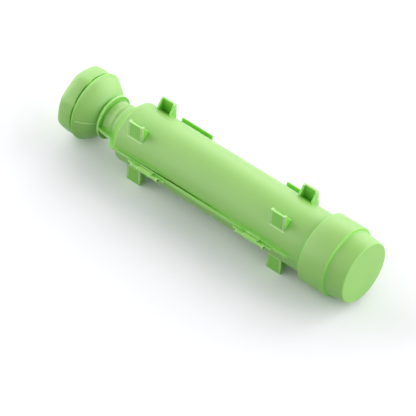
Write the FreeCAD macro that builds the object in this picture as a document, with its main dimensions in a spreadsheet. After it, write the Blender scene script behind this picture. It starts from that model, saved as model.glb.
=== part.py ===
"""Sushi rice mould press: a hinged two-part tube, a screw-on knob and rod with a piston, and an end cap.

Millimetres.  The tube's axis runs along X, +X towards the cap, +Z up.  The origin lies on the ground
under the middle of the press.  Within the sketches x is counted from the cap's end face and y and z
from the tube's axis; every body is then placed at half the length and at the height of the feet.
"""
import FreeCAD
import Part
import Sketcher
import os
import re

# alias: (value in mm or degrees, meaning)
DIMENSIONS = {
    "TotalLength": (285, "cap end face to the back of the knob"),
    "AxisHeight": (29.5, "tube axis above the ground, the reach of the feet"),
    "PartingGap": (0.3, "gap between the closed halves"),
    "ShellRadius": (25, "outside of the tube"),
    "BoreRadius": (22.8, "inside of the tube"),
    "ShellFront": (18, "end face of the tube inside the cap"),
    "UpperFront": (41, "end of the opening half, just clear of the cap"),
    "ShellBack": (226.9, "end of the full-width tube"),
    "BoreBack": (225.5, "end of the full-width bore"),
    "BoreTaper": (234, "back end of the inside shoulder"),
    "ShoulderBack": (235.5, "back of the shoulder"),
    "ShoulderRadius": (16.5, "shoulder beside the neck"),
    "ShoulderRound": (2.5, "rounding of the tube into the shoulder"),
    "NeckFront": (239.5, "front of the plain neck"),
    "NeckRadius": (15.4, "outside of the neck"),
    "NeckBore": (13.2, "inside of the neck"),
    "BandRadius": (15.8, "raised bands on the neck"),
    "BandWidth": (3.6, "width of a band"),
    "ThreadPitch": (7.5, "lead of the screw, one band to the next"),
    "RingFront": (249.9, "front of the neck's end ring"),
    "RingBack": (251.7, "back of the neck's end ring"),
    "RingRadius": (18.6, "outside of the end ring"),
    "FlangeReach": (27, "edge of the parting flange from the axis"),
    "FlangeThick": (1.15, "thickness of one half's flange"),
    "FlangeFront": (50, "front end of the parting flange"),
    "FlangeCorner": (4, "cut corner of the parting flange"),
    "FlangeBack": (231.3, "back corner of the parting flange"),
    "FlangeShoulder": (21, "flange edge beside the shoulder"),
    "FlangeNeck": (18.3, "flange edge at the end ring"),
    "EndRingBack": (40.6, "back of the closed ring under the cap"),
    "BeadRadius": (26.6, "grip beads on the closed ring"),
    "BeadWidth": (2.4, "width of a bead"),
    "BeadFront": (21, "first bead"),
    "BeadStep": (7.2, "one bead to the next"),
    "FootReach": (20, "outer face of a foot from the middle plane"),
    "FootTip": (17.2, "inner end of a foot's return at its free edge"),
    "FootRoot": (12.5, "inner end of a foot's return at the tube"),
    "FootBase": (12, "where the foot is buried in the tube's wall"),
    "FootShoulder": (22.6, "where the slope of a return ends"),
    "FootWall": (1.5, "wall of a foot"),
    "FrontFootNear": (62.2, "front foot, end towards the cap"),
    "FrontFootFar": (76.05, "front foot, end towards the knob"),
    "BackFootNear": (204, "back foot, end towards the cap"),
    "BackFootFar": (217.9, "back foot, end towards the knob"),
    "FrontClasp": (85.5, "middle of the front hinge and latch"),
    "BackClasp": (191.5, "middle of the back hinge and latch"),
    "HingeOut": (30.6, "hinge axis from the middle plane"),
    "HingeRadius": (1.5, "outside of the knuckles"),
    "HingePinRadius": (0.8, "hinge rod"),
    "HingeHalf": (13.5, "half the length of the hinge rod"),
    "HingeLug": (1.4, "thickness of a hinge lug"),
    "KnuckleHalf": (6.5, "half the length of the clip on the rod"),
    "ShelfHalf": (18, "half the length of the hinge shelf"),
    "ShelfReach": (28.8, "edge of the hinge shelf"),
    "PinPlay": (0.2, "play around a rod"),
    "LatchOut": (29.4, "latch axis from the middle plane"),
    "LatchDrop": (1.6, "latch axis below the parting plane"),
    "LatchRadius": (2.1, "outside of the latch knuckle and lugs"),
    "LatchPinRadius": (1, "latch pin"),
    "LatchHalf": (15.5, "half the width of a latch"),
    "LatchKnuckleHalf": (5.6, "half the length of the latch knuckle"),
    "LatchLugNear": (6, "inner face of a latch lug from the latch's middle"),
    "LatchLugFar": (8.4, "outer face of a latch lug"),
    "LatchTop": (8.6, "top of the latch above its axis"),
    "LatchFoot": (2.7, "bottom of the latch plate above its axis"),
    "LatchInner": (0.9, "inner face of the plate, inward of the axis"),
    "LatchOuter": (0.5, "outer face of the plate, outward of the axis"),
    "LatchNoseLow": (3.2, "underside of the nose above the axis"),
    "LatchNoseHigh": (5, "top of the nose above the axis"),
    "LatchNoseReach": (3, "tip of the nose, inward of the axis"),
    "LatchTilt": (17, "degrees that the open latch leans outward"),
    "CapCollarBack": (40.1, "rim of the cap's collar"),
    "CapStep": (16.6, "step between collar and nose of the cap"),
    "CapCollarRadius": (29.3, "outside of the collar"),
    "CapCollarBore": (27.1, "inside of the collar"),
    "CapNoseRoot": (26.9, "outside of the nose at the step"),
    "CapNoseEnd": (25.4, "outside of the nose at the end face"),
    "CapNoseBoreRoot": (24.6, "inside of the nose at the step"),
    "CapNoseBoreEnd": (23.4, "inside of the nose at the end wall"),
    "CapWall": (2, "end wall of the cap"),
    "CapRound": (1, "rounding of the cap's outer edges"),
    "PistonFront": (19.5, "front face of the piston"),
    "PistonBack": (28.5, "back of the piston disc"),
    "PistonRadius": (22.3, "piston disc"),
    "PistonSkirt": (20.3, "inside of the piston's back skirt"),
    "PistonWeb": (2.4, "front wall of the piston"),
    "SocketBack": (35, "back of the piston's socket"),
    "SocketRadius": (11, "outside of the socket"),
    "SocketBore": (7.8, "inside of the socket"),
    "SocketLip": (6.5, "lip that keeps the rod's head in"),
    "SocketLipWidth": (2, "width of that lip"),
    "HeadFront": (23, "front of the rod's head"),
    "HeadBack": (32.6, "back of the rod's head"),
    "HeadRadius": (7.4, "rod's head inside the socket"),
    "HeadNeck": (6.1, "rod's neck inside the lip"),
    "RodStart": (36, "front of the full rod"),
    "RodRadius": (7.3, "root of the rod's thread"),
    "RodBore": (4.5, "hollow of the rod"),
    "RodEnd": (272, "back end of the rod inside the knob"),
    "ThreadStart": (42, "front of the thread"),
    "ThreadCrest": (9.3, "crest of the thread"),
    "ThreadRoot": (3.2, "width of the thread at its root"),
    "ThreadTop": (1.6, "width of the thread at its crest"),
    "ThreadTurns": (27.5, "turns of the thread"),
    "RidgeCrest": (8.3, "crest of the neck's inner ridges"),
    "RidgeRoot": (2, "width of a ridge at the neck's wall"),
    "RidgeTop": (1, "width of a ridge at its crest"),
    "RidgeTurn": (26, "turns from the front of the thread to the first ridge"),
    "RidgeTrim": (4, "degrees that a ridge keeps from the parting plane"),
    "ConeFront": (252.7, "small end of the knob's cone"),
    "ConeSmall": (15, "outside of the small end"),
    "ConeBelly": (261.2, "middle of the cone, where it bulges a little"),
    "ConeBellyRadius": (23, "outside of the cone there"),
    "ConeRim": (269.8, "rim of the cone"),
    "ConeRimRadius": (28.5, "outside of the rim"),
    "ConeWall": (2, "wall of the cone"),
    "HubRadius": (11, "knob's hub around the rod"),
    "HubBore": (7.3, "bore of the hub, tight on the rod"),
    "WheelFront": (270.8, "front face of the lobed wheel"),
    "WheelBack": (285, "back face of the lobed wheel"),
    "WheelRadius": (27.6, "wheel between its lobes"),
    "WheelWall": (2.2, "wall of the wheel"),
    "WheelRound": (1.2, "rounding of the wheel's back edge"),
    "LobeCount": (8, "lobes of the wheel"),
    "LobeReach": (28.6, "wheel at its lobes"),
    "LobeRadius": (6, "rounding of a lobe"),
    "WheelTurn": (13, "degrees that the wheel is turned on the rod"),
    "SpigotRadius": (10.6, "wheel's spigot around the rod's end"),
}

CLASPS = {"left": "BackClasp", "right": "FrontClasp"}

doc = FreeCAD.newDocument("SushiRicePress")
sheet = doc.addObject("Spreadsheet::Sheet", "Sizes")
for row, (alias, (size, meaning)) in enumerate(DIMENSIONS.items(), start=1):
    sheet.set("A%d" % row, alias)
    sheet.set("B%d" % row, str(size))
    sheet.set("C%d" % row, meaning)
    sheet.setAlias("B%d" % row, alias)
doc.recompute()


def bound(formula):
    """The formula with each word turned into a reference to the sheet."""
    return re.sub(r"[A-Za-z]+", lambda word: "Sizes." + word.group(), formula)


def value(formula):
    return float(sheet.evalExpression(bound(formula)))


def new_body(node):
    body = doc.addObject("PartDesign::Body", node)
    body.Label = node
    body.setExpression("Placement.Base.x", bound("TotalLength / 2"))
    body.setExpression("Placement.Base.z", bound("AxisHeight"))
    return body


def new_sketch(body, name, role, lift="0", turn="0"):
    """A sketch on one of the body's own planes, lifted along its normal or turned about its x axis."""
    sketch = body.newObject("Sketcher::SketchObject", body.Name + name)
    plane = next(part for part in body.Origin.OriginFeatures if part.Role == role)
    sketch.AttachmentSupport = [(plane, "")]
    sketch.MapMode = "FlatFace"
    sketch.AttachmentOffset = FreeCAD.Placement(
        FreeCAD.Vector(0, 0, value(lift)), FreeCAD.Rotation(FreeCAD.Vector(1, 0, 0), value(turn)))
    sketch.setExpression("AttachmentOffset.Base.z", bound(lift))
    sketch.setExpression("AttachmentOffset.Rotation.Angle", bound(turn))
    return sketch


def pin_point(sketch, geometry, place, x, y):
    for kind, formula in (("DistanceX", x), ("DistanceY", y)):
        rule = Sketcher.Constraint(kind, -1, 1, geometry, place, value(formula))
        index = sketch.addConstraint(rule)
        sketch.setExpression("Constraints[%d]" % index, bound(formula))


def add_outline(sketch, corners):
    """A closed outline of straight lines, each corner bound to the sheet."""
    first = sketch.GeometryCount
    points = [FreeCAD.Vector(value(x), value(y), 0) for x, y in corners]
    for here, there in zip(points, points[1:] + points[:1]):
        sketch.addGeometry(Part.LineSegment(here, there), False)
    for step, (x, y) in enumerate(corners):
        following = first + (step + 1) % len(corners)
        sketch.addConstraint(Sketcher.Constraint("Coincident", first + step, 2, following, 1))
        pin_point(sketch, first + step, 1, x, y)


def add_circle(sketch, x, y, radius):
    centre = FreeCAD.Vector(value(x), value(y), 0)
    circle = Part.Circle(centre, FreeCAD.Vector(0, 0, 1), value(radius))
    index = sketch.addGeometry(circle, False)
    pin_point(sketch, index, 3, x, y)
    rule = sketch.addConstraint(Sketcher.Constraint("Radius", index, value(radius)))
    sketch.setExpression("Constraints[%d]" % rule, bound(radius))


def feature(body, kind, name, sketch):
    made = body.newObject("PartDesign::" + kind, body.Name + name)
    made.Profile = sketch
    sketch.Visibility = False
    return made


def turned(body, name, corners, kind="Revolution", degrees=360):
    """An outline in the XZ plane turned about the tube's axis, symmetric about that plane."""
    sketch = new_sketch(body, name + "Outline", "XZ_Plane")
    add_outline(sketch, corners)
    made = feature(body, kind, name, sketch)
    made.ReferenceAxis = (sketch, ["H_Axis"])
    made.Angle = degrees
    made.Midplane = degrees != 360
    return made


def extruded(body, name, role, length, outlines=(), circles=(), lift="0", kind="Pad", midplane=False,
             reverse=False):
    """Outlines or circles pushed along the plane's normal."""
    sketch = new_sketch(body, name + "Outline", role, lift)
    for corners in outlines:
        add_outline(sketch, corners)
    for x, y, radius in circles:
        add_circle(sketch, x, y, radius)
    made = feature(body, kind, name, sketch)
    made.setExpression("Length", bound(length))
    made.Midplane = midplane
    made.Reversed = reverse
    return made


def helical(body, name, corners, height, turn="0"):
    """A thread outline wound about the tube's axis towards the knob."""
    sketch = new_sketch(body, name + "Outline", "XY_Plane", turn=turn)
    add_outline(sketch, corners)
    made = feature(body, "AdditiveHelix", name, sketch)
    made.ReferenceAxis = (sketch, ["H_Axis"])
    made.Mode = "pitch-height-angle"
    made.setExpression("Pitch", bound("ThreadPitch"))
    made.setExpression("Height", bound(height))
    made.Reversed = True
    return made


def rounded(body, name, radius, chosen):
    """A fillet on those edges of the body's last feature that the test chooses."""
    doc.recompute()
    base = body.Tip
    edges = ["Edge%d" % (k + 1) for k, edge in enumerate(base.Shape.Edges) if chosen(edge)]
    made = body.newObject("PartDesign::Fillet", body.Name + name)
    made.Base = (base, edges)
    made.setExpression("Radius", bound(radius))
    return made


def ring_edge(x, radius):
    """Chooses the circular edge about the tube's axis at a place and radius."""
    def test(edge):
        curve = edge.Curve
        return (isinstance(curve, Part.Circle) and abs(curve.Radius - value(radius)) < 0.05
                and abs(curve.Center.x - value(x)) < 0.05 and abs(curve.Center.y) < 0.05)
    return test


def any_of(*tests):
    return lambda edge: any(test(edge) for test in tests)


def flange_outline():
    """The parting flange seen from above: wide beside the tube, narrower beside the neck."""
    one_side = [
        ("-FlangeFront", "BoreRadius"),
        ("-FlangeFront", "FlangeReach - FlangeCorner"),
        ("-FlangeFront - FlangeCorner / 2", "FlangeReach - FlangeCorner / 4"),
        ("-FlangeFront - FlangeCorner", "FlangeReach"),
        ("-FlangeBack + FlangeCorner", "FlangeReach"),
        ("-FlangeBack", "FlangeReach - FlangeCorner / 4"),
        ("-ShoulderBack", "FlangeShoulder"),
        ("-RingFront", "FlangeNeck"),
    ]
    other_side = [(x, "-(" + y + ")") for x, y in reversed(one_side)]
    return one_side + other_side


def foot_outlines(side):
    """Two channel-shaped feet on one side, seen from above, open towards the middle plane."""
    outlines = []
    for near, far in (("FrontFootNear", "FrontFootFar"), ("BackFootNear", "BackFootFar")):
        channel = [
            (near, "FootRoot"), (near, "FootReach"), (far, "FootReach"), (far, "FootRoot"),
            (far + " - FootWall", "FootRoot"), (far + " - FootWall", "FootReach - FootWall"),
            (near + " + FootWall", "FootReach - FootWall"), (near + " + FootWall", "FootRoot"),
        ]
        outlines.append([("-(" + x + ")", side + "(" + y + ")") for x, y in channel])
    return outlines


def half_tube(node, up):
    """Half of the tube with its neck, ring, parting flange and four feet, hollowed at the end."""
    body = new_body(node)
    sign = "" if up else "-"
    front = "UpperFront" if up else "EndRingBack"
    turned(body, "Tube", [
        ("-" + front, "0"), ("-" + front, sign + "ShellRadius"),
        ("-ShellBack", sign + "ShellRadius"), ("-ShoulderBack", sign + "ShoulderRadius"),
        ("-NeckFront", sign + "NeckRadius"), ("-RingFront", sign + "NeckRadius"),
        ("-RingFront", sign + "RingRadius"), ("-RingBack", sign + "RingRadius"), ("-RingBack", "0"),
    ], degrees=180)
    rounded(body, "ShoulderFillet", "ShoulderRound", ring_edge("-ShellBack", "ShellRadius"))
    bands = []
    for step in ("0.2", "1.1"):
        middle = "-NeckFront - ThreadPitch * " + step
        bands.append([(middle + " + BandWidth / 2", sign + "NeckBore"),
                      (middle + " + BandWidth / 4", sign + "BandRadius"),
                      (middle + " - BandWidth / 4", sign + "BandRadius"),
                      (middle + " - BandWidth / 2", sign + "NeckBore")])
    for number, band in enumerate(bands):
        turned(body, "Band%d" % number, band, degrees=180)
    extruded(body, "Flange", "XY_Plane", "FlangeThick + PartingGap / 2", [flange_outline()], reverse=not up)
    extruded(body, "Feet", "XY_Plane", "AxisHeight - FootBase", foot_outlines("") + foot_outlines("-"),
             lift=sign + "FootBase", reverse=not up)
    slopes = [[(side + "(FootRoot - 1)", sign + "FootShoulder"),
               (side + "(FootRoot - 1)", sign + "(AxisHeight + 1)"),
               (side + "FootTip", sign + "(AxisHeight + 1)"), (side + "FootTip", sign + "AxisHeight"),
               (side + "FootRoot", sign + "FootShoulder")]
              for side in ("", "-")]
    extruded(body, "FootSlopes", "YZ_Plane", "BackFootFar + 5", slopes, kind="Pocket")
    if not up:
        closed_ring(body)
    turned(body, "Bore", [
        ("-ShellFront + 5", "0"), ("-ShellFront + 5", "BoreRadius"), ("-BoreBack", "BoreRadius"),
        ("-BoreTaper", "NeckBore"), ("-RingBack - 1", "NeckBore"), ("-RingBack - 1", "0"),
    ], kind="Groove")
    extruded(body, "Parting", "XY_Plane", "PartingGap", [[
        ("-UpperFront + 0.2", "-FlangeReach - 1"), ("-UpperFront + 0.2", "FlangeReach + 1"),
        ("-RingBack - 1", "FlangeReach + 1"), ("-RingBack - 1", "-FlangeReach - 1")]],
             kind="Pocket", midplane=True)
    half_turn = "ThreadPitch * (180 - 2 * RidgeTrim) / 360"
    for turn in ("RidgeTurn", "(RidgeTurn + 1)") if up else ("(RidgeTurn + 0.5)",):
        middle = "-ThreadStart - ThreadPitch * (%s + RidgeTrim / 360)" % turn
        helical(body, "Ridge", [
            (middle + " + RidgeRoot / 2", "NeckBore + 0.4"), (middle + " + RidgeTop / 2", "RidgeCrest"),
            (middle + " - RidgeTop / 2", "RidgeCrest"), (middle + " - RidgeRoot / 2", "NeckBore + 0.4"),
        ], half_turn, turn="180 - RidgeTrim" if up else "-RidgeTrim")
    return body


def closed_ring(body):
    """The full ring at the tube's end, with three beads that the cap grips."""
    turned(body, "EndRing", [("-ShellFront", "0"), ("-ShellFront", "ShellRadius"),
                             ("-EndRingBack", "ShellRadius"), ("-EndRingBack", "0")])
    for number in range(3):
        middle = "-BeadFront - BeadStep * %d" % number
        turned(body, "Bead%d" % number, [
            (middle + " + BeadWidth / 2", "BoreRadius"), (middle + " + BeadWidth / 2", "ShellRadius"),
            (middle, "BeadRadius"),
            (middle + " - BeadWidth / 2", "ShellRadius"), (middle + " - BeadWidth / 2", "BoreRadius")])


def disc_at(body, name, middle, half, y, z, radius, kind="Pad"):
    """A short cylinder along X about a clasp's axis, added or cut."""
    return extruded(body, name, "YZ_Plane", half + " * 2", circles=[(y, z, radius)],
                    lift="-" + middle, kind=kind, midplane=True)


def lower_clasps(body):
    """Hinge shelves with their lugs on one side, latch lugs on the other."""
    for side, middle in CLASPS.items():
        extruded(body, "Shelf" + side, "XY_Plane", "FlangeThick", [[
            ("-%s - ShelfHalf" % middle, "-ShellRadius + 1"),
            ("-%s + ShelfHalf" % middle, "-ShellRadius + 1"),
            ("-%s + ShelfHalf" % middle, "-ShelfReach"), ("-%s - ShelfHalf" % middle, "-ShelfReach")]],
                 lift="-PartingGap / 2", reverse=True)
        for end, toward in (("A", "+"), ("B", "-")):
            lug = "(%s - (%s1) * (HingeHalf - HingeLug / 2))" % (middle, toward)
            extruded(body, "HingeArm" + side + end, "YZ_Plane", "HingeLug", [[
                ("-ShelfReach + 1", "-PartingGap / 2"), ("-HingeOut", "HingeRadius / 2"),
                ("-HingeOut", "-HingeRadius"), ("-ShelfReach + 1", "-PartingGap / 2 - FlangeThick")]],
                     lift="-" + lug, midplane=True)
            disc_at(body, "HingeLug" + side + end, lug, "HingeLug / 2", "-HingeOut", "0", "HingeRadius")
            disc_at(body, "HingeEye" + side + end, lug, "HingeLug", "-HingeOut", "0", "HingePinRadius",
                    kind="Pocket")
            arm = "(%s - (%s1) * (LatchLugNear + LatchLugFar) / 2)" % (middle, toward)
            extruded(body, "LatchArm" + side + end, "YZ_Plane", "LatchLugFar - LatchLugNear", [[
                ("ShellRadius - 1", "-PartingGap / 2"), ("LatchOut", "-PartingGap / 2"),
                ("LatchOut", "-LatchDrop - LatchRadius"), ("ShellRadius - 1.5", "-LatchDrop - LatchRadius")]],
                     lift="-" + arm, midplane=True)
            disc_at(body, "LatchLug" + side + end, arm, "(LatchLugFar - LatchLugNear) / 2", "LatchOut",
                    "-LatchDrop", "LatchRadius")
            disc_at(body, "LatchEye" + side + end, arm, "(LatchLugFar - LatchLugNear)", "LatchOut",
                    "-LatchDrop", "LatchPinRadius", kind="Pocket")


def upper_clasps(body):
    """The clips of the opening half, each around the middle of its hinge rod."""
    for side, middle in CLASPS.items():
        disc_at(body, "Knuckle" + side, middle, "KnuckleHalf", "-HingeOut", "0", "HingeRadius")
        extruded(body, "Tongue" + side, "XY_Plane", "FlangeThick", [[
            ("-%s - KnuckleHalf" % middle, "-FlangeReach + 1"),
            ("-%s + KnuckleHalf" % middle, "-FlangeReach + 1"),
            ("-%s + KnuckleHalf" % middle, "-HingeOut + HingePinRadius"),
            ("-%s - KnuckleHalf" % middle, "-HingeOut + HingePinRadius")]], lift="PartingGap / 2")
        disc_at(body, "KnuckleEye" + side, middle, "KnuckleHalf * 1.2", "-HingeOut", "0",
                "HingePinRadius + PinPlay", kind="Pocket")


def hinge_rod(side, middle):
    body = new_body("hinge_rod_" + side)
    disc_at(body, "Rod", middle, "HingeHalf", "-HingeOut", "0", "HingePinRadius")
    return body


def latch_pin(side, middle):
    body = new_body("latch_pin_" + side)
    disc_at(body, "Pin", middle, "LatchLugFar", "LatchOut", "-LatchDrop", "LatchPinRadius")
    return body


def latch(side, middle):
    """A flat latch with a nose for the upper flange, leaning outward about its pin."""
    body = doc.addObject("PartDesign::Body", "latch_" + side)
    body.Label = "latch_" + side
    extruded(body, "Plate", "YZ_Plane", "LatchHalf * 2", [[
        ("-LatchInner", "LatchFoot"), ("-LatchInner", "LatchNoseLow"), ("-LatchNoseReach", "LatchNoseLow"),
        ("-LatchNoseReach", "LatchNoseLow + 0.6"), ("-LatchInner", "LatchNoseHigh"),
        ("-LatchInner", "LatchTop - 0.4"), ("-LatchInner + 0.4", "LatchTop"), ("LatchOuter", "LatchTop"),
        ("LatchOuter", "LatchFoot")]], midplane=True)
    extruded(body, "Web", "YZ_Plane", "LatchKnuckleHalf * 2", [[
        ("-LatchInner", "0"), ("-LatchInner", "LatchFoot + 0.2"), ("LatchOuter", "LatchFoot + 0.2"),
        ("LatchOuter", "0")]], midplane=True)
    extruded(body, "Knuckle", "YZ_Plane", "LatchKnuckleHalf * 2", circles=[("0", "0", "LatchRadius")],
             midplane=True)
    extruded(body, "Eye", "YZ_Plane", "LatchHalf * 2", circles=[("0", "0", "LatchPinRadius + PinPlay")],
             midplane=True, kind="Pocket")
    body.setExpression("Placement.Base.x", bound("TotalLength / 2 - " + middle))
    body.setExpression("Placement.Base.y", bound("LatchOut"))
    body.setExpression("Placement.Base.z", bound("AxisHeight - LatchDrop"))
    body.Placement.Rotation = FreeCAD.Rotation(FreeCAD.Vector(1, 0, 0), -value("LatchTilt"))
    return body


def end_cap():
    """A stepped cup: a wide collar over the tube's end and a slightly tapered nose."""
    body = new_body("end_cap")
    turned(body, "Cup", [
        ("0", "0"), ("0", "CapNoseEnd"), ("-CapStep", "CapNoseRoot"), ("-CapStep", "CapCollarRadius"),
        ("-CapCollarBack", "CapCollarRadius"), ("-CapCollarBack", "CapCollarBore"),
        ("-CapStep - 0.8", "CapCollarBore"), ("-CapStep - 0.8", "CapNoseBoreRoot"),
        ("-CapWall", "CapNoseBoreEnd"), ("-CapWall", "0")])
    rounded(body, "CapFillet", "CapRound", any_of(
        ring_edge("0", "CapNoseEnd"), ring_edge("-CapStep", "CapCollarRadius")))
    return body


def piston():
    """A cup-shaped disc with a socket behind it for the rod's head."""
    body = new_body("piston")
    turned(body, "Cup", [
        ("-PistonFront", "0"), ("-PistonFront", "PistonRadius"), ("-PistonBack", "PistonRadius"),
        ("-PistonBack", "PistonSkirt"), ("-PistonFront - PistonWeb", "PistonSkirt"),
        ("-PistonFront - PistonWeb", "SocketRadius"), ("-SocketBack", "SocketRadius"),
        ("-SocketBack", "SocketLip"), ("-SocketBack + SocketLipWidth", "SocketLip"),
        ("-SocketBack + SocketLipWidth", "SocketBore"), ("-PistonFront - PistonWeb", "SocketBore"),
        ("-PistonFront - PistonWeb", "0")])
    return body


def push_rod():
    """A hollow rod with a swivel head in front and a coarse thread along its length."""
    body = new_body("push_rod")
    turned(body, "Core", [
        ("-HeadFront", "0"), ("-HeadFront", "HeadRadius - 1"), ("-HeadFront - 1", "HeadRadius"),
        ("-HeadBack", "HeadRadius"), ("-HeadBack", "HeadNeck"), ("-RodStart", "HeadNeck"),
        ("-RodStart", "RodRadius"), ("-RodEnd", "RodRadius"), ("-RodEnd", "RodBore"),
        ("-RodStart - 4", "RodBore"), ("-RodStart - 4", "0")])
    helical(body, "Thread", [
        ("-ThreadStart + ThreadRoot / 2", "RodRadius - 0.3"), ("-ThreadStart + ThreadTop / 2", "ThreadCrest"),
        ("-ThreadStart - ThreadTop / 2", "ThreadCrest"), ("-ThreadStart - ThreadRoot / 2", "RodRadius - 0.3"),
    ], "ThreadPitch * ThreadTurns")
    return body


def knob_cone():
    """The flared front of the knob, a thin horn around a hub that holds the rod."""
    body = new_body("knob_cone")
    turned(body, "Horn", [
        ("-ConeFront", "HubBore"), ("-ConeFront", "ConeSmall"), ("-ConeBelly", "ConeBellyRadius"),
        ("-ConeRim", "ConeRimRadius"), ("-ConeRim", "ConeRimRadius - ConeWall"),
        ("-ConeBelly", "ConeBellyRadius - ConeWall"), ("-ConeFront - ConeWall", "ConeSmall - ConeWall"),
        ("-ConeFront - ConeWall", "HubRadius"), ("-ConeRim + 1", "HubRadius"), ("-ConeRim + 1", "HubBore")])
    return body


def knob_wheel():
    """The lobed grip that closes the knob's back, with a spigot around the rod's end."""
    body = new_body("knob_wheel")
    body.Placement.Rotation = FreeCAD.Rotation(FreeCAD.Vector(1, 0, 0), value("WheelTurn"))
    turned(body, "Wheel", [
        ("-WheelBack", "0"), ("-WheelBack", "WheelRadius"), ("-WheelFront", "WheelRadius"),
        ("-WheelFront", "0")])
    rounded(body, "WheelFillet", "WheelRound", ring_edge("-WheelBack", "WheelRadius"))
    lobe = extruded(body, "Lobe", "YZ_Plane", "WheelBack - WheelFront - WheelRound",
                    circles=[("0", "LobeReach - LobeRadius", "LobeRadius")], lift="-WheelFront", reverse=True)
    pattern = body.newObject("PartDesign::PolarPattern", "LobePattern")
    pattern.Originals = [lobe]
    pattern.Axis = (lobe.Profile[0], ["N_Axis"])
    pattern.Angle = 360
    pattern.setExpression("Occurrences", bound("LobeCount"))
    body.Tip = pattern
    turned(body, "Hollow", [
        ("-WheelFront + 1", "SpigotRadius"), ("-WheelFront + 1", "WheelRadius - WheelWall"),
        ("-WheelBack + WheelWall", "WheelRadius - WheelWall"),
        ("-WheelBack + WheelWall", "SpigotRadius")], kind="Groove")
    turned(body, "Seat", [
        ("-WheelFront + 1", "0"), ("-WheelFront + 1", "RodRadius"), ("-RodEnd - 0.3", "RodRadius"),
        ("-RodEnd - 0.3", "0")], kind="Groove")
    return body


def check(bodies):
    doc.recompute()
    for item in doc.Objects:
        wrong = [state for state in item.State if state in ("Invalid", "Error")]
        if wrong:
            raise RuntimeError("%s is %s" % (item.Name, wrong))
    for body in bodies:
        if body.Shape.isNull() or not body.Shape.isValid() or len(body.Shape.Solids) != 1:
            raise RuntimeError("%s has no valid single solid" % body.Label)


lower = half_tube("lower_shell", up=False)
lower_clasps(lower)
upper = half_tube("upper_shell", up=True)
upper_clasps(upper)
parts = [lower, upper, end_cap(), piston(), push_rod(), knob_cone(), knob_wheel()]
for clasp_side, clasp_middle in CLASPS.items():
    parts.append(hinge_rod(clasp_side, clasp_middle))
    parts.append(latch_pin(clasp_side, clasp_middle))
    parts.append(latch(clasp_side, clasp_middle))
check(parts)

os.makedirs("parts", exist_ok=True)
for part in parts:
    part.Shape.exportStep("parts/%s.step" % part.Label)
    box = part.Shape.BoundBox
    print("%-18s %9.0f mm3  x %.1f..%.1f  y %.1f..%.1f  z %.1f..%.1f" % (
        part.Label, part.Shape.Volume, box.XMin, box.XMax, box.YMin, box.YMax, box.ZMin, box.ZMax))
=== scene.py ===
import bpy
import bmesh
import math
from mathutils import Matrix, Vector


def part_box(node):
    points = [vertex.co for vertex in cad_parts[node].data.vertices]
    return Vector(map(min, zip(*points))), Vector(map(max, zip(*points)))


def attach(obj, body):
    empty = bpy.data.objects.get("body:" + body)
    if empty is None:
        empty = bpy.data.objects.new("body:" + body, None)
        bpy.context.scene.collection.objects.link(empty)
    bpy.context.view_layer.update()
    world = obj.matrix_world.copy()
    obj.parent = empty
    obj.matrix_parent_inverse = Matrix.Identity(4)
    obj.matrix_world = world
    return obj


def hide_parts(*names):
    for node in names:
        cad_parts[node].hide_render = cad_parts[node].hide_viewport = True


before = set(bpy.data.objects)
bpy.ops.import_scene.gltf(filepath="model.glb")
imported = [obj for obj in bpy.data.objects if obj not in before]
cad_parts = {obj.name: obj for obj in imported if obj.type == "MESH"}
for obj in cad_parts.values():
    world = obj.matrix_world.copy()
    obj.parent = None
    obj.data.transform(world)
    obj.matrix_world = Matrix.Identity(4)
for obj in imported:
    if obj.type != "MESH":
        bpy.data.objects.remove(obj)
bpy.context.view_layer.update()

# The lower half of the tube.  One moulding of green polypropylene: a half tube that closes to a full
# ring under the cap, a shoulder and a neck with an end ring, a parting flange, four channel feet,
# two hinge shelves on the near side and the lugs of two latches on the far side.
MM = 0.001
cap_low, cap_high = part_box("end_cap")
CAP_END = cap_high[0]
AXIS_HEIGHT = (cap_low[2] + cap_high[2]) / 2

GAP = 0.1                     # from the parting plane to the flange of each half
PART_ANGLE = 0.4              # degrees that the wall of each half stays back from that plane
STEP = 0.05                   # what is moulded on the flange lies this much below its parting face
MOULD_RADIUS = 0.25           # the small round on every moulded edge of the halves and the latches
TUBE, BORE = 25.0, 22.8
TUBE_STEPS = 64
SHOULDER_ROUND, THROAT_ROUND = 1.4, 4.0
NECK, NECK_BORE, NECK_RING = 15.4, 13.2, 18.6
NECK_BANDS, BAND_HALF, BAND_RISE = (241.0, 247.6), 1.9, 0.4
END_RING_NEAR, END_RING_FAR = 249.9, 251.7
RING_START, RING_END = 18.0, 40.6
BEADS, BEAD_HALF, BEAD_TOP = (21.0, 28.2, 35.4), 1.2, 26.6
FLANGE, FLANGE_NECK, FLANGE_THICK = 27.0, 18.3, 1.15
FLANGE_START, FLANGE_END, FLANGE_ROOT = 50, 250.4, 23.9
FOOT_OUT, FOOT_TIP, FOOT_ROOT, FOOT_WALL, FOOT_REACH = 20.0, 17.2, 12.5, 1.5, 29.5
FOOT_TUCK = 0.02              # how far a foot's returns stay inside the edges of its plate
FEET = ((62.2, 76.05), (204.0, 217.9))
CLASPS = {"right": 85.5, "left": 191.5}
SHELF_HALF, SHELF_ROOT, SHELF_OUT = 18, 24, 28.8
HINGE_OUT, HINGE_RADIUS, HINGE_ARM_ROOT = 30.6, 1.5, 27.8
HINGE_LUG, HINGE_LUG_WIDE = 12.8, 1.4
HINGE_BOSS, HINGE_BOSS_WIDE, HINGE_BOSS_RADIUS = 9.5, 5.4, 1.25
LATCH_OUT, LATCH_DROP, LATCH_RADIUS = 29.4, 1.6, 2.1
LATCH_LUG, LATCH_LUG_WIDE = 7.2, 2.4

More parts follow.
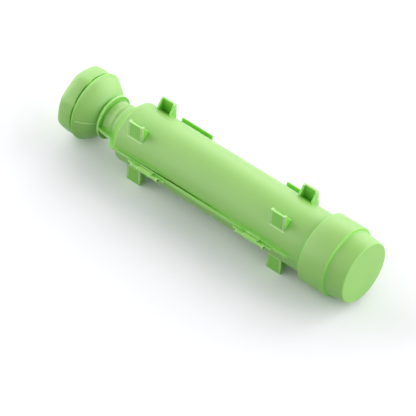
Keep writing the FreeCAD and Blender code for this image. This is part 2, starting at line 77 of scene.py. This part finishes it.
LEAF = (0.305, 0.585, 0.135, 1)
# Painted light mixed into the plastic's colour: a glow of light through thin walls and a highlight along
# the thinnest edges.
PAINTED_THIN_WALL_GLOW = (0.24, 0.67, 0.06, 1)
PAINTED_EDGE_HIGHLIGHT = (0.66, 0.95, 0.42, 1)
# Painted shade: the darker, deeper green mixed in where corners are closed in.
PAINTED_CORNER_SHADE = (0.16, 0.62, 0.045, 1)
FLOW_SPREAD = 0.06


def at(x, y, z):
    """A place given in millimetres: x from the cap's end face towards the knob, y and z from the axis."""
    return Vector((CAP_END - x * MM, y * MM, AXIS_HEIGHT + z * MM))


def arc_corner(before, corner, after, radius, steps=5):
    """The points that round a corner of an outline."""
    corner = Vector(corner)
    to_before = (Vector(before) - corner).normalized()
    to_after = (Vector(after) - corner).normalized()
    half = to_before.angle(to_after) / 2
    centre = corner + (to_before + to_after).normalized() * radius / math.sin(half)
    start = corner + to_before * radius / math.tan(half) - centre
    end = corner + to_after * radius / math.tan(half) - centre
    return [tuple(centre + radius * start.slerp(end, k / steps)) for k in range(steps + 1)]


def turned(shape, outline, first=0.0, degrees=360.0, steps=TUBE_STEPS):
    """Spins an outline of (x, radius) about the tube's axis; 0 degrees is +Y and 90 is +Z."""
    lean = math.radians(first)
    ring = [shape.verts.new(at(x, r * math.cos(lean), r * math.sin(lean))) for x, r in outline]
    closed = outline[0][1] > 0
    edges = [shape.edges.new(pair) for pair in zip(ring, ring[1:] + (ring[:1] if closed else []))]
    whole = degrees == 360.0
    spun = bmesh.ops.spin(shape, geom=ring + edges, cent=at(0, 0, 0), axis=(1, 0, 0), dvec=(0, 0, 0),
                          angle=math.radians(degrees), steps=steps, use_merge=whole)
    if not whole:
        last = [item for item in spun["geom_last"] if isinstance(item, bmesh.types.BMEdge)]
        bmesh.ops.edgeloop_fill(shape, edges=edges)
        bmesh.ops.edgeloop_fill(shape, edges=last)


def pushed(shape, corners, push):
    """A flat outline pushed into a block."""
    face = shape.faces.new([shape.verts.new(corner) for corner in corners])
    made = bmesh.ops.extrude_face_region(shape, geom=[face])["geom"]
    moved = [item for item in made if isinstance(item, bmesh.types.BMVert)]
    bmesh.ops.translate(shape, verts=moved, vec=Vector(push) * MM)


def rod(shape, x, y, z, radius, length):
    """A round bar along X about a middle point."""
    place = Matrix.Translation(at(x, y, z)) @ Matrix.Rotation(math.pi / 2, 4, "Y")
    bmesh.ops.create_cone(shape, cap_ends=True, segments=24, radius1=radius * MM,
                          radius2=radius * MM, depth=length * MM, matrix=place)


def finished(name, shape, edge=0.0):
    """Makes the piece: closed, outward, with its moulded edges rounded by the mould."""
    bmesh.ops.remove_doubles(shape, verts=shape.verts, dist=1e-7)
    bmesh.ops.recalc_face_normals(shape, faces=shape.faces)
    data = bpy.data.meshes.new(name)
    shape.to_mesh(data)
    shape.free()
    piece = bpy.data.objects.new(name, data)
    bpy.context.collection.objects.link(piece)
    for face in data.polygons:
        face.use_smooth = True
    if edge:
        bevel = piece.modifiers.new("mould_radius", "BEVEL")
        bevel.width = edge * MM
        bevel.segments = 2
        bevel.limit_method = "ANGLE"
        bevel.angle_limit = math.radians(28)
        bevel.harden_normals = True
    return piece


def tube_outline(front):
    """The wall of the tube with its shoulder, the banded neck and the neck's end ring."""
    slope_top, slope_foot, neck_start = (226.9, TUBE), (235.5, 16.5), (240, NECK)
    shoulder = arc_corner((front, TUBE), slope_top, slope_foot, SHOULDER_ROUND)
    throat = arc_corner(slope_top, slope_foot, neck_start, THROAT_ROUND)
    neck = [(238.6, NECK)]
    for middle in NECK_BANDS:
        neck += [(middle + BAND_HALF * step, NECK + BAND_RISE * math.cos(step * math.pi / 2) ** 2)
                 for step in (-1, -0.5, 0, 0.5, 1)]
    end_ring = [(END_RING_NEAR, NECK), (END_RING_NEAR, NECK_RING),
                (END_RING_FAR, NECK_RING), (END_RING_FAR, NECK_BORE)]
    inside = [(234.0, NECK_BORE), (225.5, BORE), (front, BORE)]
    return [(front, TUBE)] + shoulder + throat + neck + end_ring + inside


def flange(shape, side, up):
    """The parting flange of one side, wide along the tube and narrower beside the neck."""
    edge = (arc_corner((FLANGE_START, 20), (FLANGE_START, FLANGE), (60, FLANGE), 4.5)
            + arc_corner((220, FLANGE), (231.3, FLANGE), (235.5, 21), 3.0)
            + arc_corner((231.3, FLANGE), (235.8, 20.4), (END_RING_NEAR, FLANGE_NECK), 2.0))
    end = [(FLANGE_END, FLANGE_NECK), (FLANGE_END, 14.2)]
    wall = [(238, 14.2), (234.5, 16), (226, FLANGE_ROOT), (FLANGE_START, FLANGE_ROOT)]
    corners = [at(x, side * y, up * GAP) for x, y in edge + end + wall]
    pushed(shape, corners, (0, 0, up * FLANGE_THICK))


def foot(shape, near, far, side, up):
    """A channel foot: an outer plate with a sloping return at each end."""
    plate = [(FOOT_OUT, 13.9), (FOOT_OUT, FOOT_REACH), (FOOT_OUT - FOOT_WALL, FOOT_REACH),
             (FOOT_OUT - FOOT_WALL, 15.7)]
    pushed(shape, [at(near, side * y, up * z) for y, z in plate], (near - far, 0, 0))
    tip, outer = FOOT_REACH - FOOT_TUCK, FOOT_OUT - 0.05
    slope = [(outer, 13.9), (outer, tip), (FOOT_TIP, tip), (FOOT_TIP - 0.3, 28.0),
             (FOOT_ROOT, 22.4), (FOOT_ROOT, 20.9), (15.5, 18.75), (18.6, 15.6)]
    for x in (near + FOOT_TUCK, far - FOOT_WALL - FOOT_TUCK):
        pushed(shape, [at(x, side * y, up * z) for y, z in slope], (-FOOT_WALL, 0, 0))


def half_tube(up, front):
    """What both halves have: the half tube and neck, a flange on each side and four feet."""
    shape = bmesh.new()
    turned(shape, tube_outline(front), first=PART_ANGLE if up > 0 else 180 + PART_ANGLE,
           degrees=180 - 2 * PART_ANGLE)
    for side in (1, -1):
        flange(shape, side, up)
        for near, far in FEET:
            foot(shape, near, far, side, up)
    return shape


def moulded_green(name):
    """Injection-moulded green: satin and a little translucent, with faint flow marks and the fine
    eroded texture of the mould; painted light is mixed into its colour: a painted glow of light through the
    slender walls, painted shade in the corners and a painted highlight along the slimmest edges."""
    material = bpy.data.materials.new(name)
    material.use_nodes = True
    nodes, links = material.node_tree.nodes, material.node_tree.links
    plastic = nodes["Principled BSDF"]
    plastic.inputs["Roughness"].default_value = 0.42
    plastic.inputs["Specular IOR Level"].default_value = 0.7
    plastic.inputs["Subsurface Weight"].default_value = 0.4
    plastic.inputs["Subsurface Radius"].default_value = (1.0, 1.0, 1.0)
    plastic.inputs["Subsurface Scale"].default_value = 0.002

    place = nodes.new("ShaderNodeTexCoord")
    flow = nodes.new("ShaderNodeTexNoise")
    flow.inputs["Scale"].default_value = 22
    flow.inputs["Detail"].default_value = 2
    links.new(place.outputs["Object"], flow.inputs["Vector"])
    marks = nodes.new("ShaderNodeMix")
    marks.data_type = "RGBA"
    marks.inputs["A"].default_value = [(1 - FLOW_SPREAD) * part for part in LEAF[:3]] + [1]
    marks.inputs["B"].default_value = [(1 + FLOW_SPREAD) * part for part in LEAF[:3]] + [1]
    links.new(flow.outputs["Fac"], marks.inputs["Factor"])

    # Each painted light: how deep the wall is felt, the open share where it starts and where it is full,
    #     how much it covers, and its colour. The first is a painted glow of light through thin walls, the
    #     second a painted highlight along the thinnest edges.
    colour = marks.outputs["Result"]
    for depth, start, full, cover, painted_light_colour in ((0.0019, 0.9, 0.45, 0.85, PAINTED_THIN_WALL_GLOW),
                                            (0.0006, 0.96, 0.6, 0.95, PAINTED_EDGE_HIGHLIGHT)):
        inner = nodes.new("ShaderNodeAmbientOcclusion")
        inner.inside = True
        inner.only_local = True
        inner.samples = 8
        inner.inputs["Distance"].default_value = depth
        share = nodes.new("ShaderNodeMapRange")
        share.inputs["From Min"].default_value = start
        share.inputs["From Max"].default_value = full
        share.inputs["To Max"].default_value = cover
        links.new(inner.outputs["AO"], share.inputs["Value"])
        painted_light_mix = nodes.new("ShaderNodeMix")
        painted_light_mix.data_type = "RGBA"
        painted_light_mix.inputs["B"].default_value = painted_light_colour
        links.new(share.outputs["Result"], painted_light_mix.inputs["Factor"])
        links.new(colour, painted_light_mix.inputs["A"])
        colour = painted_light_mix.outputs["Result"]

    # Painted shade: where a point is closed in, as in corners and between parts, its colour turns to the
    # darker green of painted shade.
    shade = nodes.new("ShaderNodeAmbientOcclusion")
    shade.inputs["Distance"].default_value = 0.008
    corner = nodes.new("ShaderNodeMix")
    corner.data_type = "RGBA"
    corner.inputs["A"].default_value = PAINTED_CORNER_SHADE
    links.new(shade.outputs["AO"], corner.inputs["Factor"])
    links.new(colour, corner.inputs["B"])
    links.new(corner.outputs["Result"], plastic.inputs["Base Color"])

    grain = nodes.new("ShaderNodeTexNoise")
    grain.inputs["Scale"].default_value = 2600
    grain.inputs["Detail"].default_value = 1
    links.new(place.outputs["Object"], grain.inputs["Vector"])
    bump = nodes.new("ShaderNodeBump")
    bump.inputs["Strength"].default_value = 0.06
    bump.inputs["Distance"].default_value = 0.0002
    links.new(grain.outputs["Fac"], bump.inputs["Height"])
    links.new(bump.outputs["Normal"], plastic.inputs["Normal"])
    return material


green = moulded_green("moulded_green")
shape = half_tube(-1, RING_END - 0.5)
ring = [(RING_START, TUBE)]
for bead in BEADS:
    ring += [(bead - BEAD_HALF, TUBE), (bead, BEAD_TOP), (bead + BEAD_HALF, TUBE)]
turned(shape, ring + [(RING_END, TUBE), (RING_END, BORE), (RING_START, BORE)])
for middle in CLASPS.values():
    near, far = middle - SHELF_HALF, middle + SHELF_HALF
    shelf = [(near, -SHELF_ROOT), (far, -SHELF_ROOT), (far, -SHELF_OUT), (near, -SHELF_OUT)]
    pushed(shape, [at(x, y, -GAP - STEP) for x, y in shelf], (0, 0, -FLANGE_THICK))
    for end in (1, -1):
        lug = middle + end * HINGE_LUG
        arm = [(-HINGE_ARM_ROOT, -GAP), (-HINGE_OUT, 0.2), (-HINGE_OUT, -HINGE_RADIUS),
               (-HINGE_ARM_ROOT, -GAP - FLANGE_THICK)]
        pushed(shape, [at(lug + HINGE_LUG_WIDE / 2, y, z) for y, z in arm], (HINGE_LUG_WIDE, 0, 0))
        rod(shape, lug, -HINGE_OUT, 0, HINGE_RADIUS, HINGE_LUG_WIDE)
        rod(shape, middle + end * HINGE_BOSS, -HINGE_OUT, 0, HINGE_BOSS_RADIUS, HINGE_BOSS_WIDE)
        lug = middle + end * LATCH_LUG
        low = -LATCH_DROP - LATCH_RADIUS
        arm = [(24, -GAP - STEP), (LATCH_OUT, -GAP - STEP), (LATCH_OUT, low), (23.6, low)]
        pushed(shape, [at(lug + LATCH_LUG_WIDE / 2, y, z) for y, z in arm], (LATCH_LUG_WIDE, 0, 0))
        rod(shape, lug, LATCH_OUT, -LATCH_DROP, LATCH_RADIUS, LATCH_LUG_WIDE)
lower_half = finished("lower_half", shape, MOULD_RADIUS)
lower_half.data.materials.append(green)
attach(lower_half, "lower")
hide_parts("lower_shell")


# The two hinge rods and the two latch pins: plain round bars of the same green plastic.  They are
# pressed into the lugs of the lower half and carry the upper half's clips and the latches.
def green_node(node):
    """Gives a node of the frame the moulded green."""
    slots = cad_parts[node].data.materials
    slots.clear()
    slots.append(green)


for side in CLASPS:
    green_node("hinge_rod_" + side)
    green_node("latch_pin_" + side)

# The upper half of the tube, from the same kind of mould and the same green plastic.  It ends just
# clear of the cap and carries the two clips that snap around the hinge rods.
UPPER_START = 41.0
TONGUE_HALF, TONGUE_ROOT, TONGUE_THICK = 6.5, 26, 0.9
shape = half_tube(1, UPPER_START)
for middle in CLASPS.values():
    near, far = middle - TONGUE_HALF, middle + TONGUE_HALF
    tongue = [(near, -TONGUE_ROOT), (far, -TONGUE_ROOT), (far, -HINGE_OUT), (near, -HINGE_OUT)]
    pushed(shape, [at(x, y, GAP + STEP) for x, y in tongue], (0, 0, TONGUE_THICK))
    rod(shape, middle, -HINGE_OUT, 0, HINGE_RADIUS, 2 * TONGUE_HALF)
upper_half = finished("upper_half", shape, MOULD_RADIUS)
upper_half.data.materials.append(green)
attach(upper_half, "upper")
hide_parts("upper_shell")

# The two latches on the far side: flat plates moulded in green plastic, each on its pin, with a nose
# that snaps over the upper flange.  They stand open, leaning a little outward.
LATCH_TILT = math.radians(-17)
PLATE_HALF, WEB_HALF = 15.5, 5.6
for side, middle in CLASPS.items():
    shape = bmesh.new()
    plate = [(-0.9, 2.7), (-0.9, 3.2), (-3.0, 3.2), (-3.0, 3.8), (-0.9, 5.0), (-0.9, 8.2), (-0.5, 8.6),
             (0.1, 8.6), (0.5, 8.2), (0.5, 2.7)]
    web = [(-0.85, 0.3), (-0.85, 2.9), (0.45, 2.9), (0.45, 0.3)]
    for outline, half in ((plate, PLATE_HALF), (web, WEB_HALF)):
        pushed(shape, [at(middle - half, LATCH_OUT + y, z - LATCH_DROP) for y, z in outline],
               (-2 * half, 0, 0))
    rod(shape, middle, LATCH_OUT, -LATCH_DROP, LATCH_RADIUS, 2 * WEB_HALF)
    bmesh.ops.rotate(shape, verts=shape.verts, cent=at(middle, LATCH_OUT, -LATCH_DROP),
                     matrix=Matrix.Rotation(LATCH_TILT, 3, "X"))
    latch = finished("latch_plate_" + side, shape, MOULD_RADIUS)
    latch.data.materials.append(green)
    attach(latch, "latch_" + side[0])
    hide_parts("latch_" + side)

# The push rod and the piston, both moulded in green plastic.  The rod's thread runs in the neck, and
# its end turns in the piston's collar, so the piston slides without turning.
green_node("push_rod")
green_node("piston")

# The end cap: a stepped cup of green plastic with a thick collar that slides over the closed ring,
# and a nose with a little draft that ends in a flat face.
ROUND_STEPS = 96
face_edge, nose_end = (0, 25.4), (16.6, 26.9)
collar_front, collar_rim, collar_mouth, collar_seat = (16.6, 29.3), (40.1, 29.3), (40.1, 27.1), (17.4, 27.1)
shape = bmesh.new()
cup = [(0, 0), (0, 12)]
cup += arc_corner((0, 12), face_edge, nose_end, 1.1)
cup += arc_corner(face_edge, nose_end, collar_front, 0.5, 2)
cup += arc_corner(nose_end, collar_front, collar_rim, 0.9)
cup += arc_corner(collar_front, collar_rim, collar_mouth, 0.5, 3)
cup += arc_corner(collar_rim, collar_mouth, collar_seat, 0.4, 2)
cup += [collar_seat, (17.4, 24.6), (2, 23.4), (2, 0)]
turned(shape, cup, steps=ROUND_STEPS)
cap = finished("cap_cup", shape)
cap.data.materials.append(green)
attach(cap, "cap")
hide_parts("end_cap")

# The knob's horn: a thin flared cone of green plastic with a rolled lip, pressed on the rod by its
# hub, with a fine parting line where its mould closed.
HORN_SEAM = math.radians(174)
SEAM_RISE, SEAM_DEPTH, SEAM_WIDE = 0.13, 0.6, 0.35
HORN_FRONT, HORN_LENGTH, HORN_NECK, HORN_FLARE, HORN_BELLY = 252.7, 17.1, 15, 13.5, 1.5
HUB, HUB_BORE, HUB_END = 11, 7.35, 268.8
shape = bmesh.new()
belly = [(HORN_FRONT + HORN_LENGTH * step,
          HORN_NECK + HORN_FLARE * step + HORN_BELLY * math.sin(math.pi * step))
         for step in (0.12, 0.25, 0.37, 0.5, 0.62, 0.75, 0.87)]
lip = [(268.3, 28.0), (268.5, 28.4), (269.1, 28.6), (269.6, 28.5), (269.8, 28.2)]
inside = [(269.8, 26.4), (261.2, 21.0), (254.7, 13), (254.7, HUB), (HUB_END, HUB), (HUB_END, HUB_BORE),
          (HORN_FRONT, HUB_BORE)]
horn = arc_corner((HORN_FRONT, 7.3), (HORN_FRONT, HORN_NECK), (269.8, 28.5), 0.6, 3) + belly + lip + inside
turned(shape, horn, steps=ROUND_STEPS)
across, rise = math.cos(HORN_SEAM), math.sin(HORN_SEAM)
seam = [(x, r + SEAM_RISE) for x, r in belly] + [(x, r - SEAM_DEPTH) for x, r in reversed(belly)]
pushed(shape, [at(x, r * across, r * rise) for x, r in seam], (0, -SEAM_WIDE * rise, SEAM_WIDE * across))
horn_piece = finished("knob_horn", shape)
horn_piece.data.materials.append(green)
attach(horn_piece, "screw")
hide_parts("knob_cone")

# The knob's wheel: a hollow cap of green plastic with eight soft lobes for the fingers, set a hair
# behind the horn so that a dark slit runs between them.
LOBES, LOBE_MIDDLE = 8, math.radians(148)
WHEEL_RADIUS, LOBE_SWELL = 27.7, 0.85
SLIT_EDGE, SLIT_CLOSE = 272, 1.1
WHEEL_STEPS = 192
WHEEL_RINGS = ((276.0, 0.40), (272.6, 0.42), (272.6, 0.86), (271.5, 0.90), (271.5, 0.98), (271.8, 0.99),
               (272.4, 0.996), (279.0, 1.0), (283.2, 0.985), (284.3, 0.965), (284.9, 0.925), (285.0, 0.88),
               (284.7, 0.80), (284.7, 0.02))


def wheel_place(angle, x, share):
    """A place on the wheel; in front of the slit's edge the lobes reach towards the horn."""
    swell = 0.5 + 0.5 * math.cos(LOBES * (angle - LOBE_MIDDLE))
    radius = share * (WHEEL_RADIUS + LOBE_SWELL * swell ** 2)
    if x < SLIT_EDGE:
        x -= SLIT_CLOSE * swell ** 4
    return at(x, radius * math.cos(angle), radius * math.sin(angle))


shape = bmesh.new()
rim = bmesh.ops.create_circle(shape, cap_ends=False, segments=WHEEL_STEPS, radius=MM,
                              matrix=Matrix.Rotation(math.pi / 2, 4, "Y"))["verts"]
for vert in rim:
    vert.co = wheel_place(math.atan2(vert.co.z, vert.co.y), *WHEEL_RINGS[0])
loop = list(shape.edges)
for x, share in WHEEL_RINGS[1:]:
    made = bmesh.ops.extrude_edge_only(shape, edges=loop)["geom"]
    loop = [item for item in made if isinstance(item, bmesh.types.BMEdge)]
    for vert in {vert for edge in loop for vert in edge.verts}:
        offset = vert.co - at(0, 0, 0)
        vert.co = wheel_place(math.atan2(offset.z, offset.y), x, share)
bmesh.ops.edgeloop_fill(shape, edges=loop)
bmesh.ops.holes_fill(shape, edges=[edge for edge in shape.edges if edge.is_boundary], sides=0)
wheel = finished("knob_grip", shape)
wheel.data.materials.append(green)
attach(wheel, "screw")
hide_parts("knob_wheel")

# The floor: a wide sheet of white paper, which stands for the ground and isn't part of the press.
# It looks white, but throws a dimmer and slightly green light back on the press.
PAPER_SEEN = (0.93, 0.925, 0.96, 1)
PAPER_BOUNCE = (0.24, 0.38, 0.22, 1)
bpy.ops.mesh.primitive_plane_add(size=8, location=(0, 0, -0.0002))
floor = bpy.context.object
floor.name = "floor"


def seen_rays(tree):
    """1 where the camera sees it, straight or in a reflection or through glass."""
    path = tree.nodes.new("ShaderNodeLightPath")
    level = path.outputs["Is Camera Ray"]
    for ray in ("Is Glossy Ray", "Is Transmission Ray"):
        either = tree.nodes.new("ShaderNodeMath")
        either.operation = "MAXIMUM"
        tree.links.new(level, either.inputs[0])
        tree.links.new(path.outputs[ray], either.inputs[1])
        level = either.outputs["Value"]
    return level


paper = bpy.data.materials.new("white_paper")
paper.use_nodes = True
tree = paper.node_tree
sheet = tree.nodes["Principled BSDF"]
sheet.inputs["Roughness"].default_value = 0.9
tone = tree.nodes.new("ShaderNodeMix")
tone.data_type = "RGBA"
tone.inputs["A"].default_value = PAPER_BOUNCE
tone.inputs["B"].default_value = PAPER_SEEN
tree.links.new(seen_rays(tree), tone.inputs["Factor"])
tree.links.new(tone.outputs["Result"], sheet.inputs["Base Color"])
floor.data.materials.append(paper)

# Plain soft studio light: a white room that adds only a little light of its own, and seven square
# soft boxes around the press, all aimed at it.
ROOM_WHITE = (0.97, 0.97, 1, 1)
ROOM_LIGHT = 0.05
BOX_SIZE = 2.4
AIM = Vector((0, 0, 0.03))
world = bpy.data.worlds.new("studio")
bpy.context.scene.world = world
world.use_nodes = True
tree = world.node_tree
room = tree.nodes["Background"]
room.inputs["Color"].default_value = ROOM_WHITE
strength = tree.nodes.new("ShaderNodeMapRange")
strength.inputs["To Min"].default_value = ROOM_LIGHT
tree.links.new(seen_rays(tree), strength.inputs["Value"])
tree.links.new(strength.outputs["Result"], room.inputs["Strength"])
for name, place, watts in (("left_light", (-2.4, -0.2, 1.2), 50), ("back_light", (1.6, 1.8, 1.6), 47),
                           ("rim_light", (0, 2.6, 1.0), 32), ("corner_light", (-1.8, 1.8, 1.4), 30),
                           ("knob_light", (-1.8, -2.0, 0.9), 28), ("cap_light", (2.8, 0.2, 0.9), 54),
                           ("front_light", (0.4, -1.8, 2.0), 13)):
    lamp = bpy.data.lights.new(name, "AREA")
    lamp.shape = "SQUARE"
    lamp.size = BOX_SIZE
    lamp.energy = watts
    box = bpy.data.objects.new(name, lamp)
    bpy.context.collection.objects.link(box)
    box.location = place
    box.rotation_euler = (AIM - Vector(place)).to_track_quat("-Z", "Y").to_euler()

# The camera: a long lens above the front right.
AZIMUTH = math.radians(38.52)
ELEVATION = math.radians(43.15)
ROLL = math.radians(3.59)
DISTANCE = 2.3874
TARGET = Vector((0.01244, -0.02674, 0.0295))
lens = bpy.data.cameras.new("camera")
lens.sensor_width = 36
lens.lens = 273.9
lens.clip_end = 20
camera = bpy.data.objects.new("camera", lens)
bpy.context.collection.objects.link(camera)
towards_camera = Vector((math.sin(AZIMUTH) * math.cos(ELEVATION), -math.cos(AZIMUTH) * math.cos(ELEVATION),
                         math.sin(ELEVATION)))
turn = (Matrix.Rotation(AZIMUTH, 4, "Z") @ Matrix.Rotation(math.pi / 2 - ELEVATION, 4, "X")
        @ Matrix.Rotation(ROLL, 4, "Z"))
camera.matrix_world = Matrix.Translation(TARGET + towards_camera * DISTANCE) @ turn
bpy.context.scene.camera = camera
bpy.context.scene.view_settings.view_transform = "Standard"
